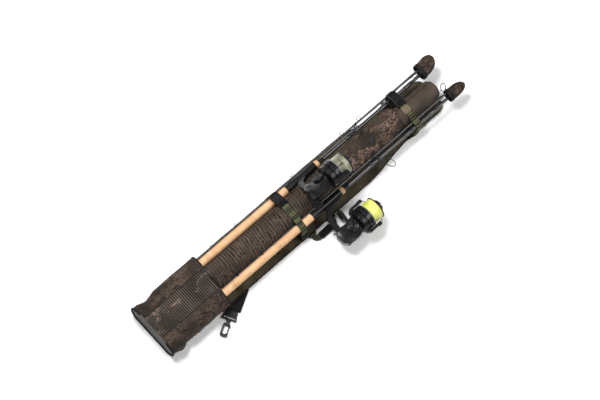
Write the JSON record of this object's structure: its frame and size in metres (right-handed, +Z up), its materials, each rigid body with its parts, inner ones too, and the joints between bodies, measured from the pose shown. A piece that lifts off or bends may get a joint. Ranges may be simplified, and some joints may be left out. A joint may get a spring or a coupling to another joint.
{
  "type": "rod case",
  "caption": "Long padded camouflage rod case lying on its back, with a butt pocket, central sleeve, buckled straps, carry handle, shoulder strap, and two rods with spinning reels.",
  "frame": {"origin": "on the back panel's flat underside, where the case lies on the ground, on the centre line and midway along the whole case", "axes": "+X along the case from the butt end to the tip end, +Y across it towards the left rod, +Z up from the ground"},
  "size_m": [1.396, 0.3439, 0.2168],
  "materials": {
    "camo_fabric": "matte",
    "panel_fabric": "matte",
    "stiffening_board": "matte",
    "base_rubber": "matte",
    "black_binding": "matte",
    "pocket_mesh": "matte",
    "bag_fabric": "matte",
    "olive_webbing": "matte",
    "tan_keeper": "matte",
    "handle_padding": "matte",
    "buckle_plastic": "satin",
    "cork": "matte",
    "seat_black": "satin",
    "carbon_blank": "gloss",
    "guide_steel": "satin",
    "reel_shell": "satin",
    "bail_wire": "satin",
    "spool_metal": "satin",
    "crank_metal": "satin",
    "knob_rubber": "matte",
    "clear_line": "satin",
    "yellow_line": "satin"
  },
  "bodies": {
    "case": {"back_panel": "panel_fabric", "spine_board": "stiffening_board", "base_cup": "base_rubber", "base_binding": "black_binding", "butt_pocket": "camo_fabric", "pocket_mesh_front": "pocket_mesh", "storage_sleeve": "camo_fabric", "lower_strap_anchor": "olive_webbing", "lower_buckle_socket": "buckle_plastic", "upper_strap_anchor": "olive_webbing", "upper_buckle_socket": "buckle_plastic", "left_strap_wing": "camo_fabric", "right_strap_wing": "camo_fabric", "carry_handle_tabs": "buckle_plastic", "shoulder_webbing": "olive_webbing", "shoulder_pad": "handle_padding", "strap_slider": "buckle_plastic", "hook_eye": "buckle_plastic"},
    "stick_bag": {"stick_bag": "bag_fabric"},
    "lower_strap_half": {"lower_strap": "olive_webbing", "lower_buckle_plug": "buckle_plastic", "lower_strap_end_tab": "black_binding"},
    "upper_strap_half": {"upper_strap": "olive_webbing", "upper_buckle_plug": "buckle_plastic", "upper_strap_keeper": "tan_keeper"},
    "carry_handle": {"carry_handle_strap": "olive_webbing", "carry_handle_grip": "handle_padding"},
    "snap_hook": {"snap_hook": "buckle_plastic"},
    "hook_gate": {"snap_hook_gate": "buckle_plastic"},
    "left_rod": {"left_cork_handle": "cork", "left_reel_seat": "seat_black", "left_fore_cork": "cork", "left_butt_blank": "carbon_blank", "left_tip_blank": "carbon_blank", "left_guides": "guide_steel", "left_reel_body": "reel_shell"},
    "left_cap": {"left_tip_cap": "camo_fabric", "left_cap_cuff": "black_binding"},
    "left_rotor": {"left_rotor": "reel_shell"},
    "left_bail": {"left_bail": "bail_wire"},
    "left_spool": {"left_spool": "spool_metal", "left_line_winding": "clear_line"},
    "left_crank": {"left_crank": "crank_metal"},
    "left_knob": {"left_crank_knob": "knob_rubber"},
    "right_rod": {"right_cork_handle": "cork", "right_reel_seat": "seat_black", "right_fore_cork": "cork", "right_butt_blank": "carbon_blank", "right_tip_blank": "carbon_blank", "right_guides": "guide_steel", "right_reel_body": "reel_shell"},
    "right_cap": {"right_tip_cap": "camo_fabric", "right_cap_cuff": "black_binding"},
    "right_rotor": {"right_rotor": "reel_shell"},
    "right_bail": {"right_bail": "bail_wire"},
    "right_spool": {"right_spool": "spool_metal", "right_line_winding": "yellow_line"},
    "right_crank": {"right_crank": "crank_metal"},
    "right_knob": {"right_crank_knob": "knob_rubber"}
  },
  "joints": [
    {"name": "stick_bag_slide", "type": "slide", "parent": "case", "child": "stick_bag", "axis": [1, 0, 0], "range_m": [0, 0.3]},
    {"name": "lower_buckle_release", "type": "slide", "parent": "case", "child": "lower_strap_half", "axis": [0, -0.9388, 0.3444], "range_m": [0, 0.03]},
    {"name": "upper_buckle_release", "type": "slide", "parent": "case", "child": "upper_strap_half", "axis": [0, -0.9924, 0.1234], "range_m": [0, 0.03]},
    {"name": "carry_handle_swing", "type": "hinge", "parent": "case", "child": "carry_handle", "pos_m": [-0.016, -0.1015, 0.007], "axis": [-1, 0, 0], "range_deg": [0, 80]},
    {"name": "snap_hook_swivel", "type": "hinge", "parent": "case", "child": "snap_hook", "pos_m": [-0.48247, -0.13531, 0.0072], "axis": [-0.8829, -0.4695, 0], "continuous": true},
    {"name": "snap_hook_gate_swing", "type": "hinge", "parent": "snap_hook", "child": "hook_gate", "pos_m": [-0.48953, -0.14971, 0.0072], "axis": [0, 0, -1], "range_deg": [0, 22], "stiffness_Nm_per_rad": 0.02, "springref_deg": -17.19},
    {"name": "left_rod_slide", "type": "slide", "parent": "case", "child": "left_rod", "axis": [1, 0, 0], "range_m": [0, 0.12]},
    {"name": "left_cap_pull", "type": "slide", "parent": "left_rod", "child": "left_cap", "axis": [1, 0, 0], "range_m": [0, 0.09]},
    {"name": "left_crank_turn", "type": "hinge", "parent": "left_rod", "child": "left_crank", "pos_m": [0.047, -0.01022, 0.17308], "axis": [0, 0.7923, 0.6101], "range_deg": [0, 75]},
    {"name": "left_rotor_turn", "type": "hinge", "parent": "left_rod", "child": "left_rotor", "pos_m": [0.047, -0.01022, 0.17308], "axis": [1, 0, 0], "range_deg": [-5, 330]},
    {"name": "left_bail_flip", "type": "hinge", "parent": "left_rotor", "child": "left_bail", "pos_m": [0.118, -0.01022, 0.17308], "axis": [0, -0.7501, 0.6613], "range_deg": [0, 100]},
    {"name": "left_spool_drag", "type": "hinge", "parent": "left_rod", "child": "left_spool", "pos_m": [0.047, -0.01022, 0.17308], "axis": [1, 0, 0], "continuous": true},
    {"name": "left_knob_spin", "type": "hinge", "parent": "left_crank", "child": "left_knob", "pos_m": [-0.01675, -0.04869, 0.16501], "axis": [0, -0.7923, -0.6101], "continuous": true},
    {"name": "right_rod_slide", "type": "slide", "parent": "case", "child": "right_rod", "axis": [1, 0, 0], "range_m": [0, 0.12]},
    {"name": "right_cap_pull", "type": "slide", "parent": "right_rod", "child": "right_cap", "axis": [1, 0, 0], "range_m": [0, 0.09]},
    {"name": "right_crank_turn", "type": "hinge", "parent": "right_rod", "child": "right_crank", "pos_m": [0.047, -0.183, 0.078], "axis": [0, 0, 1], "range_deg": [0, 75]},
    {"name": "right_rotor_turn", "type": "hinge", "parent": "right_rod", "child": "right_rotor", "pos_m": [0.047, -0.183, 0.078], "axis": [1, 0, 0], "range_deg": [-5, 330]},
    {"name": "right_bail_flip", "type": "hinge", "parent": "right_rotor", "child": "right_bail", "pos_m": [0.118, -0.183, 0.078], "axis": [0, -1, 0], "range_deg": [0, 100]},
    {"name": "right_spool_drag", "type": "hinge", "parent": "right_rod", "child": "right_spool", "pos_m": [0.047, -0.183, 0.078], "axis": [1, 0, 0], "continuous": true},
    {"name": "right_knob_spin", "type": "hinge", "parent": "right_crank", "child": "right_knob", "pos_m": [0.05504, -0.11749, 0.0426], "axis": [0, 0, -1], "continuous": true}
  ],
  "couplings": [
    {"joint": "left_rotor_turn", "follows": "left_crank_turn", "ratio": 4.3},
    {"joint": "right_rotor_turn", "follows": "right_crank_turn", "ratio": 4.3}
  ]
}
